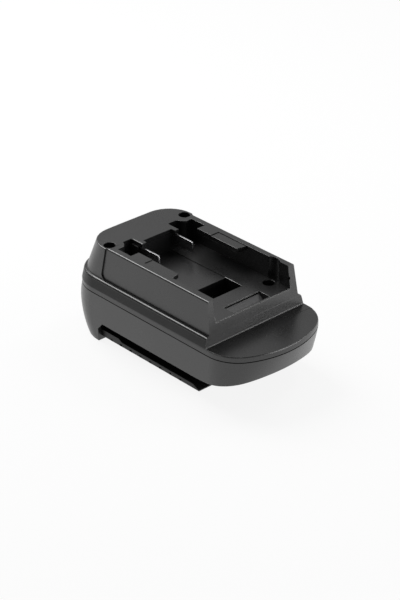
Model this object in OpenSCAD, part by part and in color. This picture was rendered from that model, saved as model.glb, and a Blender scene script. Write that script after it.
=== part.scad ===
// Slide-on battery adapter for a cordless tool.
// A battery slides into the channel on top, and the rail underneath slides into the tool's foot.
// Millimetres. +X is the half-moon front, +Z is up, z = 0 is the underside of the tool rail.

/* [Body] */
// Length over all, half-moon front to the back of the heel
body_l = 143.5; // [138:0.5:152]
// Width of the rim across the long sides
body_w = 72; // [70:0.5:80]
// Height of the top deck above the underside of the rail
deck_z = 56; // [54:0.5:62]
// Height of the joint between the two shells
parting_z = 28; // [27:0.5:30]
// Height of the upright rim above the joint
rim_h = 3.6; // [3:0.1:4.5]
// Radius of the half-moon front
front_arc_r = 53; // [48:1:60]
// Radius of the shallow rear end
rear_arc_r = 100; // [80:1:140]
// Radius of the rim's corners in plan
corner_r = 21; // [17:0.5:24]
// Radius of the heel's barrel-shaped back
heel_r = 36; // [30:1:60]
// Height at which the heel's back stands out furthest
heel_mid_z = 15.5; // [13:0.5:17]
// Wall thickness of both shells
wall = 2.4; // [2:0.1:2.8]
// Depth of the shadow line along the joint
shadow_d = 0.55; // [0.3:0.05:0.7]

/* [Pedestal] */
// Length of the half-moon ledge in front of the deck
nose_l = 30.4; // [26:0.2:33]
// Lean of the front face
front_lean = 8.2; // [4:0.2:12]
// Distance from the rear end of the rim to the rear edge of the deck
rear_run = 12.6; // [10:0.2:16]
// Side step from the rim to the rear deck edge, each side
deck_step = 4.2; // [3.8:0.1:4.8]
// Radius of the rear corners of the deck
deck_corner_r = 16; // [14:0.5:17]
// Radius of the nearly straight rear edge of the deck
deck_arc_r = 900; // [400:50:1500]
// Height of the sloped band over the rim
band_h = 5.6; // [4.5:0.1:6.5]
// Inward slope of the band over its height
band_in = 1.1; // [0.5:0.1:1.3]
// Rounding between the band and the ledge above it
band_r = 1.3; // [0.8:0.1:1.6]
// Rounding of the deck's outer edge
deck_r = 0.6; // [0.4:0.1:0.7]
// Depth of the flat side panels below the rear body
panel_d = 0.8; // [0.6:0.1:1.1]
// Length of the deck's sides behind the flat panels
panel_set = 18.1; // [16:0.1:21]

/* [Battery channel] */
// Depth of the channel below the deck
bay_depth = 12.9; // [12:0.1:14]
// Width of the channel between its side walls
bay_w = 53.8; // [52:0.2:55]
// Width of the mouth between the overhanging lips
mouth_w = 42.2; // [40:0.2:45]
// Thickness of the lips
lip_t = 3; // [2.5:0.1:3.5]
// Length of the lips
lip_l = 32.8; // [30:0.2:35]
// Length of the deck behind the channel
rear_deck_l = 27.3; // [26.5:0.1:28.5]
// Length of the open end behind the lips
open_l = 6.1; // [5:0.1:8]
// Width of the opening behind the lips
pocket_w = 53.6; // [51:0.2:53.8]
// Reach of the two corner pockets behind the channel
pocket_l = 9; // [8:0.2:10]
// Length of the deep square well in the floor
well_l = 12.7; // [10:0.1:13]
// Width of the deep square well
well_w = 20.4; // [18:0.2:21]
// Depth of the square well
well_d = 10; // [8:0.5:11]
// Length of the ramped catch pocket at the mouth
catch_l = 7.6; // [6:0.1:8]
// Width of the ramped catch pocket
catch_w = 25.8; // [22:0.2:28]

/* [Tool rail] */
// Height of the side skirt's bottom edge, which is the top of the rail's groove
skirt_z = 10; // [9.5:0.1:11]
// Width over the rail's two runners
rail_w = 63.4; // [61:0.1:64]
// Thickness of the runners
rail_t = 2.7; // [2.5:0.1:3]
// Length of the runners
rail_l = 79.5; // [76:0.5:82]
// Width of the neck that carries the runners
neck_w = 53; // [51:0.5:55]
// Length of the heel behind the rail
heel_l = 25.6; // [25:0.1:26.5]
// How far the heel hangs below the rail
heel_drop = 2.4; // [1.5:0.1:3]
// Length and height of the slope between the skirt and the heel
heel_slope = 4.6; // [3:0.1:5]
// Rise of the stop at the rear end of the groove
stop_h = 1.4; // [0.8:0.1:2]
// Width of the keyway between the runners
key_w = 17; // [15.5:0.5:18]
// Number of grip notches along each runner
notches = 8; // [4:1:9]
// Spacing of the grip notches
notch_step = 8.1; // [7:0.1:8.4]

/* [Contacts and leads] */
// Distance between the battery blades
blade_pitch = 24.2; // [23:0.1:25]
// Thickness of the blades
blade_t = 1; // [0.8:0.1:1.2]
// Height of the blades
blade_h = 6.6; // [6:0.1:7]
// Reach of the blades in front of their block
blade_reach = 15.5; // [13:0.5:17]
// Distance between the tool clips
clip_pitch = 22; // [21:0.5:23]
// Sheet thickness of the tool clips
clip_t = 0.6; // [0.5:0.1:0.8]
// Diameter of the insulated leads
lead_d = 2.8; // [2.4:0.1:3]

/* [Latch] */
// Travel of the release latch
travel = 4; // [3:0.1:4.2]
// Width of the thumb button
button_w = 20; // [16:0.5:21]
// Height of the thumb button
button_h = 9; // [8:0.5:9.5]
// Width of the latch tongue
tongue_w = 14.6; // [12:0.2:15]
// Mean diameter of the latch springs
spring_d = 4.8; // [4.4:0.1:5]
// Wire diameter of the latch springs
spring_wire = 0.6; // [0.5:0.05:0.7]
// Turns of each latch spring
spring_turns = 6; // [4:1:7]

/* [Screws] */
// Diameter of the holes that the screw heads drop into
head_hole_d = 6.6; // [6:0.1:7]
// Diameter of the screw heads
head_d = 5.6; // [5.2:0.1:5.8]
// Diameter of the screw shanks
shank_d = 3; // [2.8:0.1:3.2]
// Height of the housing screws' seats
seat_z = 34; // [33:0.5:35]
// Clearance between separate pieces
gap = 0.15; // [0.1:0.05:0.25]

/* [Hidden] */

$fn = 48;
far = 200;
eps = 0.5;

// Colours of the mouldings, metals and leads
shell_colour = "#313235";
shoe_colour = "#26272a";
block_colour = "#1f2023";
plated_colour = "#b9bbbd";
steel_colour = "#8d9094";
red_lead = "#b3211e";
black_lead = "#1a1a1b";

// Ends of the body and heights of the upper shell
front_x = body_l / 2;
back_x = -body_l / 2;
rear_x = back_x + heel_r - sqrt(pow(heel_r, 2) - pow(parting_z - heel_mid_z, 2));
rim_z = parting_z + rim_h;
rim_edge_r = 0.8;
band_z = rim_z + band_h;
deck_front_x = front_x - nose_l;
deck_rear_x = rear_x + rear_run;
deck_w = body_w - 2 * deck_step;
ledge = 0.5;
foot_run = band_in + band_r + ledge;
foot_w = body_w - 2 * foot_run;
foot_corner_r = corner_r - foot_run;
panel_x = deck_rear_x + panel_set;
panel_slant = 2.6;
panel_corner_r = 3;

// Battery channel
floor_z = deck_z - bay_depth;
lip_z = deck_z - lip_t;
bay_rear_x = deck_rear_x + rear_deck_l;
lip_rear_x = bay_rear_x + open_l;
lip_front_x = lip_rear_x + lip_l;
lip_slant = 1.2;
lip_step = 0.4;
lip_step_x = lip_rear_x + 11;
pocket_x = bay_rear_x - pocket_l;
pocket_step_x = bay_rear_x - 4.5;
pocket_step_y = pocket_w / 2 - 4.6;
well_x = deck_front_x - 17.9;
well_z = floor_z - well_d;
catch_x = deck_front_x - 7.3;
catch_drop = 0.6;
floor_step = 0.4;
cavity_top_z = floor_z - wall;

// Battery terminal block, which sits under the rear deck
block_face_x = bay_rear_x - 3;
block_l = 11.8;
block_w = blade_pitch + 4.6;
block_rear_x = block_face_x - block_l;
block_top_z = deck_z - wall - gap;
chamber_rear_x = deck_rear_x + 2.8;
ear_l = 6;
ear_t = 3;
ear_x = block_rear_x - ear_l / 2;
ear_pitch = 15;
ear_w = ear_pitch + 6;
ear_screw_d = 2;
ear_head_d = 4;
ear_head_h = 1.4;
ear_bore_d = ear_screw_d + 2 * gap;
ear_boss_d = 5;
ear_screw_l = ear_t + 4;
blade_top_z = block_top_z - 0.4;
blade_y = blade_pitch / 2;
leg_l = 4;
leg_x = block_rear_x - 3.5;
leg_z = floor_z - 7;

// Housing screws and shoe screws
rear_screw = [deck_rear_x + 16.2, deck_w / 2 - 4.6];
front_screw = [deck_front_x - 10.4, bay_w / 2 - 3.8];
scallop_r = 5.8;
boss_d = 9;
boss_keep_r = 8;
bore_d = shank_d + 2 * gap;
housing_screw_l = 20;
head_t = 2.2;

// Lower shell
heel_x = rear_x + heel_l;
front_slope = 0.37;
side_slope = 0.065;
front_flatten = 1.6;
corner_sharpen = 0.19;
nose_bend_x = front_x - 38;
nose_bend_r = 105;
inner_z = skirt_z + wall;
latch_well_w = 32;
thumb_x = rear_x + 6.5;
shoe_screw_x = [heel_x + 17.6, heel_x + 47.6];
shoe_screw_y = 19;
shoe_boss_d = 7.5;
shoe_boss_h = 7;
shoe_screw_l = 15;

// Tool rail
rail_front_x = heel_x + rail_l;
lead_in = 5;
neck_front_x = rail_front_x - lead_in;
stop_x = heel_x + 14.4;
stop_run = 2.6;
notch_w = 1.5;
notch_d = 1.2;
window_l = 18;
window_w = clip_pitch + 12;
window_x = neck_front_x - window_l;
slot_w = 2.2;

// Tool clips, with their tails standing up through the lower shell
clip_back_x = window_x + 3.4;
clip_l = 12.5;
clip_h = skirt_z - rail_t - 1.4;
clip_z = rail_t + 0.9;
clip_mouth = 2.2;
clip_pinch = 0.75;
tail_w = 4;
tail_top_z = inner_z + 5.6;

// Latch, which slides up and down in the heel
arm_z = inner_z;
arm_t = 3;
arm_w = 16;
tongue_x = heel_x + 4;
tongue_l = 5.5;
tongue_tip_z = 0.5;
plate_t = 2.2;
plate_x = thumb_x + 2 * gap;
button_z = arm_z + arm_t / 2 - button_h / 2 - 1.7;
button_out = 6.8;
stub_l = 1.4;
stub_w = arm_w - 4;
stub_in = 0.5;
spring_x = heel_x - 10.4;
spring_y = 5.5;
spring_z0 = arm_z + arm_t;
spring_z1 = parting_z - 2;
post_d = 6.4;
pin_d = 3;
pin_h = 3;

// Route of a lead on the +Y side, from the blade's leg down and forward to the clip's tail
lead_end_z = tail_top_z - lead_d / 2 - 0.4;
lead_route = [
  [leg_x, blade_y, leg_z],
  [leg_x, blade_y, leg_z - 5],
  [leg_x + 4, blade_y + 0.5, leg_z - 10],
  [leg_x + 13, blade_y + 1, leg_z - 13],
  [heel_x + 26, blade_y + 1, leg_z - 14],
  [heel_x + 40, blade_y + 1, leg_z - 14],
  [clip_back_x - 8, clip_pitch / 2 + 0.6, lead_end_z + 2.4],
  [clip_back_x - 3, clip_pitch / 2, lead_end_z],
  [clip_back_x, clip_pitch / 2, lead_end_z]
];

// Points along an arc, with the last left out where the next stretch starts on it
function arc(c, r, a0, a1, n, last) =
  [for (i = [0:(last ? n : n - 1)])
    let (a = a0 + (a1 - a0) * i / n) c + r * [cos(a), sin(a)]];

// Plan outline of half width w with a half-moon front, a shallow rear arc and straight sides.
// The front corners have radius rc and the rear corners rq.
function plan(xf, xr, w, rf, rr, rc, rq) =
  let (
    cf = xf - rf,
    cr = xr + rr,
    yc = w - rc,
    yq = w - rq,
    af = asin(yc / (rf - rc)),
    ar = asin(yq / (rr - rq)),
    kf = cf + (rf - rc) * cos(af),
    kr = cr - (rr - rq) * cos(ar)
  )
  concat(
    arc([cf, 0], rf, -af, af, 16, false),
    arc([kf, yc], rc, af, 90, 8, true),
    arc([kr, yq], rq, 90, 180 - ar, 8, false),
    arc([cr, 0], rr, 180 - ar, 180 + ar, 10, false),
    arc([kr, -yq], rq, 180 + ar, 270, 8, true),
    arc([kf, -yc], rc, 270, 360 - af, 8, false)
  );

// Rim outline, moved in by d all round
function rim_plan(d) =
  plan(front_x - d, rear_x + d, body_w / 2 - d, front_arc_r - d, rear_arc_r - d,
       corner_r - d, corner_r - d);

// Pedestal outline of half width w, with a rear arc of radius rr and corners of radius rc
function pedestal_plan(xr, w, rr, rc, d) =
  plan(front_x - d, xr + d, w - d, front_arc_r - d, rr - d, rc - d, rc - d);

// Deck outline, moved in by d all round
function deck_plan(d) = pedestal_plan(deck_rear_x, deck_w / 2, deck_arc_r, deck_corner_r, d);

// Back of the lower shell at height z
function back_at(z) = back_x + heel_r - sqrt(pow(heel_r, 2) - pow(z - heel_mid_z, 2));

// Outline of the lower shell at height z, moved in by d all round.
// Its front gets flatter and its front corners sharper towards the bottom.
function hull_plan(z, d) =
  let (drop = parting_z - z)
  plan(front_x - front_slope * drop - d, back_at(z) + d, body_w / 2 - side_slope * drop - d,
       front_arc_r + front_flatten * drop - d, rear_arc_r - d,
       corner_r - corner_sharpen * drop - d, corner_r - d);

// Solid through a stack of outlines, each [height, points], with the same number of points
module loft(rings) {
  n = len(rings[0][1]);
  m = len(rings);
  corners = [for (r = rings) for (p = r[1]) [p.x, p.y, r[0]]];
  sides = [for (j = [0:m - 2]) for (i = [0:n - 1])
    let (a = j * n + i, b = j * n + (i + 1) % n)
    each [[a, a + n, b + n], [a, b + n, b]]];
  floor_face = [for (i = [0:n - 1]) i];
  top_face = [for (i = [0:n - 1]) m * n - 1 - i];
  polyhedron(corners, concat([floor_face], sides, [top_face]));
}

// Profile in X and Z, drawn across the width w
module across(w) {
  rotate([90, 0, 0]) translate([0, 0, -w / 2]) linear_extrude(w) children();
}

module both_sides() {
  children();
  mirror([0, 1, 0]) children();
}

module at_housing_screws() {
  both_sides() {
    translate(rear_screw) children();
    translate(front_screw) children();
  }
}

module at_shoe_screws() {
  both_sides() for (x = shoe_screw_x) translate([x, shoe_screw_y, 0]) children();
}

// Rim with the shadow line under it and a rounded upper edge
module rim_body() {
  loft([
    [parting_z, rim_plan(shadow_d)],
    [parting_z + shadow_d, rim_plan(0)],
    [rim_z - rim_edge_r, rim_plan(0)],
    [rim_z - 0.3 * rim_edge_r, rim_plan(0.3 * rim_edge_r)],
    [rim_z, rim_plan(rim_edge_r)]
  ]);
}

// Sloped band, ledge and leaning pedestal up to the deck
module pedestal_body() {
  loft([
    [rim_z - rim_edge_r, rim_plan(0.05)],
    [band_z - band_r, rim_plan(band_in)],
    [band_z - 0.3 * band_r, rim_plan(band_in + 0.3 * band_r)],
    [band_z, rim_plan(band_in + band_r)],
    [band_z, pedestal_plan(rear_x + foot_run, foot_w / 2, rear_arc_r, foot_corner_r, 0)],
    [deck_z - deck_r, deck_plan(0)],
    [deck_z - 0.3 * deck_r, deck_plan(0.3 * deck_r)],
    [deck_z, deck_plan(deck_r)]
  ]);
}

// Space in front of the leaning front face
module front_face_cut() {
  top_z = deck_z + eps;
  top_x = deck_front_x - eps * tan(front_lean);
  foot_x = deck_front_x + (deck_z - rim_z) * tan(front_lean);
  across(2 * body_w) polygon([[top_x, top_z], [far, top_z], [far, rim_z], [foot_x, rim_z]]);
}

// Flat panel sunk into the side at -Y, with a round lower rear corner
module side_panel_cut() {
  panel_h = deck_z - band_z - 0.2;
  lean = atan((foot_w - deck_w) / 2 / (deck_z - band_z));
  corner = [panel_corner_r - panel_slant, panel_corner_r - panel_h];
  translate([panel_x, panel_d - deck_w / 2, deck_z]) rotate([90 - lean, 0, 0])
    linear_extrude(far / 10) polygon(concat(
      [[far, eps], [0, eps]],
      arc(corner, panel_corner_r, 180, 270, 6, true),
      [[far, -panel_h]]));
}

// Outline of the opening in the deck, one half from the centre line outwards
function opening_half() = [
  [bay_rear_x, block_w / 2 - 1],
  [pocket_x, block_w / 2 - 1],
  [pocket_x, pocket_w / 2],
  [lip_rear_x, pocket_w / 2],
  [lip_rear_x, mouth_w / 2],
  [lip_front_x - lip_slant, mouth_w / 2],
  [lip_front_x, bay_w / 2],
  [far, bay_w / 2]
];

// Channel that the battery's rails slide into, with the wells in its floor
module battery_bay() {
  half = opening_half();
  n = len(half);
  difference() {
    translate([0, 0, floor_z]) linear_extrude(far) polygon(concat(
      half, [for (i = [0:n - 1]) [half[n - 1 - i].x, -half[n - 1 - i].y]]));
    both_sides() translate(rear_screw) cylinder(r = boss_keep_r, h = far);
  }
  // Outer ends of the corner pockets, cut square past the screw bosses
  both_sides() translate([pocket_step_x, pocket_step_y, floor_z])
    cube([lip_rear_x - pocket_step_x, pocket_w / 2 - pocket_step_y, far]);
  // Grooves under the lips
  translate([lip_rear_x - eps, -bay_w / 2, floor_z])
    cube([lip_l + 2 * eps, bay_w, lip_z - floor_z]);
  // Shallow steps on top of the lips and in the floor behind the well
  translate([lip_step_x, -bay_w / 2, deck_z - lip_step]) cube([far, bay_w, far]);
  translate([block_face_x, -well_w / 2, floor_z - floor_step])
    cube([well_x - well_l - block_face_x + eps, well_w, far / 4]);
  // Deep square well
  translate([well_x - well_l, -well_w / 2, well_z]) cube([well_l, well_w, far]);
  // Catch pocket with its floor ramped down to the front
  across(catch_w) polygon([
    [catch_x, floor_z + eps], [catch_x, floor_z - catch_drop],
    [catch_x + catch_l, floor_z - catch_l], [catch_x + catch_l, floor_z + eps]]);
  // Small notches low on the inner front edges of the side walls
  both_sides() translate([deck_front_x, bay_w / 2 - eps, floor_z + 5]) cube([far, eps + 0.7, 1.6]);
  // Reliefs in the walls beside the front screws
  both_sides() translate([front_screw.x, front_screw.y, floor_z]) cylinder(r = scallop_r, h = far);
}

// Room under the rear deck for the terminal block
module terminal_chamber() {
  w = block_w + 2 * gap;
  top_z = deck_z - wall;
  translate([chamber_rear_x, -w / 2, cavity_top_z - eps])
    cube([block_face_x - chamber_rear_x, w, top_z - cavity_top_z + eps]);
  translate([block_face_x - eps, 1 - w / 2, floor_z])
    cube([bay_rear_x - block_face_x + 2 * eps, w - 2, top_z - floor_z]);
}

// Hollow of the upper shell, open at the joint
module upper_hollow() {
  translate([0, 0, parting_z - eps]) linear_extrude(rim_h - wall + eps) polygon(rim_plan(wall));
  intersection() {
    translate([0, 0, parting_z - eps]) linear_extrude(cavity_top_z - parting_z + eps)
      polygon(pedestal_plan(rear_x + foot_run + 2 * wall, deck_w / 2 - wall, rear_arc_r,
                            foot_corner_r - wall, 0));
    translate([-far, -far, 0]) cube([far + deck_front_x - 1, 2 * far, far]);
  }
}

// Walls and pillars that stand inside the upper hollow
module upper_inside() {
  pillar_h = cavity_top_z - parting_z + eps;
  at_housing_screws() translate([0, 0, parting_z]) cylinder(d = boss_d, h = pillar_h);
  translate([well_x - well_l - wall, -well_w / 2 - wall, well_z - wall])
    cube([well_l + 2 * wall, well_w + 2 * wall, cavity_top_z - well_z + wall + eps]);
  translate([catch_x - wall, -catch_w / 2 - wall, floor_z - catch_l - wall])
    cube([deck_front_x - catch_x + wall, catch_w + 2 * wall, catch_l + wall - eps]);
}

// Posts that hold the upper ends of the latch springs
module spring_posts() {
  both_sides() translate([spring_x, spring_y, spring_z1])
    cylinder(d = post_d, h = cavity_top_z - spring_z1 + eps);
  both_sides() translate([spring_x, spring_y, spring_z1 - pin_h])
    cylinder(d = pin_d, h = pin_h + eps);
}

// Bosses over the ears of the terminal block
module ear_bosses() {
  z = floor_z + ear_t;
  both_sides() translate([ear_x, ear_pitch / 2, z])
    cylinder(d = ear_boss_d, h = deck_z - wall - z + eps);
}

module upper_shell() {
  color(shell_colour) difference() {
    union() {
      difference() {
        rim_body();
        upper_hollow();
      }
      difference() {
        pedestal_body();
        front_face_cut();
        both_sides() side_panel_cut();
        upper_hollow();
        battery_bay();
        terminal_chamber();
      }
      difference() {
        upper_inside();
        battery_bay();
      }
      spring_posts();
      ear_bosses();
    }
    at_housing_screws() {
      translate([0, 0, seat_z]) cylinder(d = head_hole_d, h = far);
      translate([0, 0, parting_z - eps]) cylinder(d = bore_d, h = far);
    }
    both_sides() translate([ear_x, ear_pitch / 2, floor_z])
      cylinder(d = ear_bore_d, h = deck_z - wall - floor_z);
  }
}

// Space under the body in front of the heel, raised by dz, sweeping up under the nose
module under_space(dz) {
  steps = 10;
  run = front_x + eps - nose_bend_x;
  across(2 * body_w) polygon(concat(
    [[heel_x, -heel_drop - eps], [heel_x, skirt_z + dz]],
    [for (i = [0:steps]) let (s = run * i / steps)
      [nose_bend_x + s, skirt_z + dz + nose_bend_r - sqrt(pow(nose_bend_r, 2) - s * s)]],
    [[front_x + eps, -heel_drop - eps]]));
}

// Sloped corners between the skirts and the heel, outside the rail's neck
module heel_slopes() {
  both_sides() translate([heel_x, -neck_w / 2 - 2, skirt_z]) rotate([90, 0, 0])
    linear_extrude(far) polygon([[-eps, eps], [-eps, -heel_slope], [0, -heel_slope], [heel_slope, eps]]);
}

// Hollow of the lower shell, with the thumb wall left thick at the rear
module lower_hollow() {
  rings = [for (z = [inner_z, heel_mid_z, (heel_mid_z + parting_z) / 2, parting_z + eps])
    [z, hull_plan(z, wall)]];
  difference() {
    loft(rings);
    under_space(wall);
    translate([-far, -latch_well_w / 2, 0]) cube([far + thumb_x, latch_well_w, far]);
  }
  translate([thumb_x, -latch_well_w / 2, wall])
    cube([heel_l - wall + rear_x - thumb_x, latch_well_w, inner_z - wall + eps]);
}

// Window and scooped recess for the thumb button in the rear wall
module thumb_window() {
  scoop_r = 16;
  scoop_d = 3.4;
  z = button_z + button_h / 2 + travel / 2;
  translate([back_x - eps, -button_w / 2 - 2 * gap, button_z - 2 * gap])
    cube([thumb_x - back_x + 2 * eps, button_w + 4 * gap, button_h + travel + 4 * gap]);
  translate([back_x - scoop_r + scoop_d, 0, z]) rotate([90, 0, 0])
    cylinder(r = scoop_r, h = button_w + 6, center = true, $fn = 96);
}

module lower_shell() {
  steps = 10;
  color(shell_colour) difference() {
    union() {
      difference() {
        loft([for (i = [0:steps]) let (z = (parting_z + heel_drop) * i / steps - heel_drop)
          [z, hull_plan(z, 0)]]);
        difference() {
          under_space(0);
          heel_slopes();
        }
        lower_hollow();
      }
      at_housing_screws() translate([0, 0, inner_z - eps])
        cylinder(d = boss_d, h = parting_z - inner_z + eps);
      at_shoe_screws() translate([0, 0, inner_z - eps])
        cylinder(d = shoe_boss_d, h = shoe_boss_h + eps);
    }
    thumb_window();
    // Screw bores
    at_housing_screws() translate([0, 0, seat_z - housing_screw_l - 1])
      cylinder(d = bore_d, h = far);
    at_shoe_screws() cylinder(d = bore_d, h = inner_z + shoe_boss_h - 1);
    // Slot for the tongue and windows for the clip tails
    translate([tongue_x - 2 * gap, -tongue_w / 2 - 2 * gap, 0])
      cube([tongue_l + 4 * gap, tongue_w + 4 * gap, inner_z + eps]);
    both_sides() translate([clip_back_x - 2.4, clip_pitch / 2 - tail_w / 2 - 0.6, 0])
      cube([5, tail_w + 1.2, inner_z + eps]);
  }
}

// Side view of a runner: lead-in at the front, stop ramp at the rear
function runner_profile() = [
  [heel_x + gap, 0],
  [rail_front_x, 0],
  [rail_front_x, 0.6],
  [rail_front_x - lead_in, rail_t],
  [stop_x + stop_run, rail_t],
  [stop_x, rail_t + stop_h],
  [heel_x + gap, rail_t + stop_h]
];

module tool_shoe() {
  color(shoe_colour) difference() {
    union() {
      across(rail_w) polygon(runner_profile());
      translate([heel_x + gap, -neck_w / 2, rail_t / 2])
        cube([neck_front_x - heel_x - gap, neck_w, skirt_z - rail_t / 2]);
    }
    // Keyway between the runners
    translate([heel_x, -key_w / 2, -eps]) cube([rail_l + eps, key_w, rail_t + eps]);
    // Window for the terminal block, and the slots that the tool's blades enter
    translate([window_x, -window_w / 2, rail_t]) cube([far, window_w, far]);
    both_sides() translate([clip_back_x + 1, clip_pitch / 2 - slot_w / 2, -eps])
      cube([far, slot_w, far]);
    // Slot for the latch tongue
    translate([tongue_x - 2 * gap, -tongue_w / 2 - 2 * gap, 0])
      cube([tongue_l + 4 * gap, tongue_w + 4 * gap, far]);
    // Grip notches along the outer lower edges
    both_sides() for (i = [0:notches - 1])
      translate([heel_x + 7.4 + i * notch_step, rail_w / 2 - notch_d, -eps])
        cube([notch_w, notch_d + eps, notch_d + eps]);
    // Screw holes with sunk heads
    at_shoe_screws() {
      cylinder(d = bore_d, h = far);
      translate([0, 0, -eps]) cylinder(d = head_hole_d, h = head_t + 0.2 + eps);
    }
  }
}

// Insulating block that holds the two battery blades, with two screw ears behind
module battery_terminal_block() {
  z0 = floor_z - floor_step;
  color(block_colour) difference() {
    union() {
      translate([block_rear_x, -block_w / 2, z0]) cube([block_l, block_w, block_top_z - z0]);
      translate([block_rear_x - ear_l, -ear_w / 2, floor_z])
        cube([ear_l + eps, ear_w, ear_t]);
    }
    both_sides() translate([block_rear_x - eps, blade_y - blade_t / 2, blade_top_z - blade_h])
      cube([far, blade_t, blade_h]);
    both_sides() translate([ear_x, ear_pitch / 2, 0]) cylinder(d = ear_bore_d, h = far);
  }
}

// Blade with a chamfered nose and a solder leg bent down behind the block
module blade(side) {
  nose = 1;
  z0 = blade_top_z - blade_h;
  tip_x = block_face_x + blade_reach;
  color(plated_colour) translate([0, side * blade_y, 0]) across(blade_t) polygon([
    [leg_x - leg_l / 2, leg_z], [leg_x + leg_l / 2, leg_z], [leg_x + leg_l / 2, z0],
    [tip_x - nose, z0], [tip_x, z0 + nose], [tip_x, blade_top_z - nose],
    [tip_x - nose, blade_top_z], [leg_x - leg_l / 2, blade_top_z]]);
}

module positive_blade() { blade(1); }
module negative_blade() { blade(-1); }

// Block in the front of the shoe that holds the clips
module tool_terminal_block() {
  color(block_colour) difference() {
    translate([window_x + gap, -window_w / 2 + gap, rail_t])
      cube([window_l - gap, window_w - 2 * gap, skirt_z - rail_t]);
    both_sides() {
      translate([clip_back_x, clip_pitch / 2 - clip_mouth - clip_t - 0.4, clip_z])
        cube([far, 2 * (clip_mouth + clip_t + 0.4), far]);
      translate([clip_back_x + 1, clip_pitch / 2 - slot_w / 2, 0]) cube([far, slot_w, far]);
    }
  }
}

// Two-leaf clip that grips a tool blade, with a tail that stands up to its lead
module clip(side) {
  leaf = [[0, clip_mouth], [0.72 * clip_l, clip_pinch], [clip_l, clip_mouth - 0.4]];
  outer = [for (p = leaf) [p.x, p.y + clip_t]];
  color(plated_colour) translate([clip_back_x, side * clip_pitch / 2, clip_z]) {
    linear_extrude(clip_h) {
      both_sides() polygon([leaf[0], leaf[1], leaf[2], outer[2], outer[1], outer[0]]);
      translate([0, -clip_mouth - clip_t]) square([clip_t, 2 * (clip_mouth + clip_t)]);
    }
    translate([0, -tail_w / 2, 0]) cube([clip_t, tail_w, tail_top_z - clip_z]);
  }
}

module positive_clip() { clip(1); }
module negative_clip() { clip(-1); }

function ghost(p, q) = 2 * p - q;

// Smooth curve through the points, m steps to a span
function through(pts, m) =
  let (n = len(pts), g = concat([ghost(pts[0], pts[1])], pts, [ghost(pts[n - 1], pts[n - 2])]))
  concat(
    [for (i = [1:n - 1]) for (k = [0:m - 1])
      let (t = k / m, a = g[i - 1], b = g[i], c = g[i + 1], d = g[i + 2])
      (2 * b + (c - a) * t + (2 * a - 5 * b + 4 * c - d) * t * t
        + (3 * b - a - 3 * c + d) * pow(t, 3)) / 2],
    [pts[n - 1]]);

function unit(v) = v / norm(v);

// Round tube of radius r along the points, with its ends square to the two given directions
module tube(pts, r, sides, first, last) {
  n = len(pts);
  rings = [for (i = [0:n - 1])
    let (
      t = i == 0 ? first : i == n - 1 ? last : unit(pts[i + 1] - pts[i - 1]),
      u = unit(cross([0, 1, 0], t)),
      v = cross(t, u)
    )
    for (k = [0:sides - 1]) let (a = 360 * k / sides) pts[i] + r * (cos(a) * u + sin(a) * v)];
  skin = [for (i = [0:n - 2]) for (k = [0:sides - 1])
    let (a = i * sides + k, b = i * sides + (k + 1) % sides)
    each [[a, a + sides, b + sides], [a, b + sides, b]]];
  polyhedron(rings, concat(
    [[for (k = [0:sides - 1]) k]], skin, [[for (k = [0:sides - 1]) n * sides - 1 - k]]));
}

module lead(side, colour) {
  route = through([for (p = lead_route) [p.x, side * p.y, p.z]], 4);
  color(colour) tube(route, lead_d / 2, 8, [0, 0, -1], [1, 0, 0]);
}

module positive_lead() { lead(1, red_lead); }
module negative_lead() { lead(-1, black_lead); }

// Shrink sleeve over the joint between a lead and its blade
module sleeve(side) {
  bore_r = norm([leg_l / 2, blade_t / 2]);
  color(black_lead) translate([leg_x, side * blade_y, leg_z - 3.5]) difference() {
    cylinder(r = bore_r + 0.4, h = 7);
    translate([0, 0, -eps]) cylinder(r = bore_r, h = 7 + 2 * eps);
  }
}

module positive_sleeve() { sleeve(1); }
module negative_sleeve() { sleeve(-1); }

// Latch: a flat arm in the heel with the catch tongue at its front end
module latch_tongue() {
  slope = 3;
  color(shoe_colour) {
    translate([plate_x + plate_t, -arm_w / 2, arm_z])
      cube([tongue_x + tongue_l - plate_x - plate_t, arm_w, arm_t]);
    translate([plate_x + plate_t - stub_l, -stub_w / 2, arm_z + stub_in])
      cube([stub_l + eps, stub_w, arm_t - 2 * stub_in]);
    across(tongue_w) polygon([
      [tongue_x, arm_z + eps], [tongue_x, tongue_tip_z],
      [tongue_x + tongue_l - slope, tongue_tip_z], [tongue_x + tongue_l, tongue_tip_z + slope],
      [tongue_x + tongue_l, arm_z + eps]]);
    both_sides() translate([spring_x, spring_y, spring_z0 - eps])
      cylinder(d = pin_d, h = pin_h / 2 + eps);
  }
}

// Thumb button with a backing plate inside the wall and grip ribs outside
module release_button() {
  rib = 0.7;
  ribs = 4;
  rib_w = button_w - 4;
  rib_step = (button_h - 2 - rib) / (ribs - 1);
  face_x = plate_x - button_out;
  plate_w = button_w + 6;
  color(shell_colour) difference() {
    union() {
      translate([plate_x, -plate_w / 2, button_z - travel - 2 * gap])
        cube([plate_t, plate_w, button_h + 2 * travel + 4 * gap]);
      translate([face_x, -button_w / 2, button_z])
        cube([button_out + eps, button_w, button_h]);
      for (i = [0:ribs - 1])
        translate([face_x - rib, -rib_w / 2, button_z + 1 + i * rib_step])
          cube([rib + eps, rib_w, rib]);
    }
    translate([plate_x + plate_t - stub_l - gap, -stub_w / 2 - gap, arm_z + stub_in - gap])
      cube([far, stub_w + 2 * gap, arm_t - 2 * stub_in + 2 * gap]);
  }
}

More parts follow.
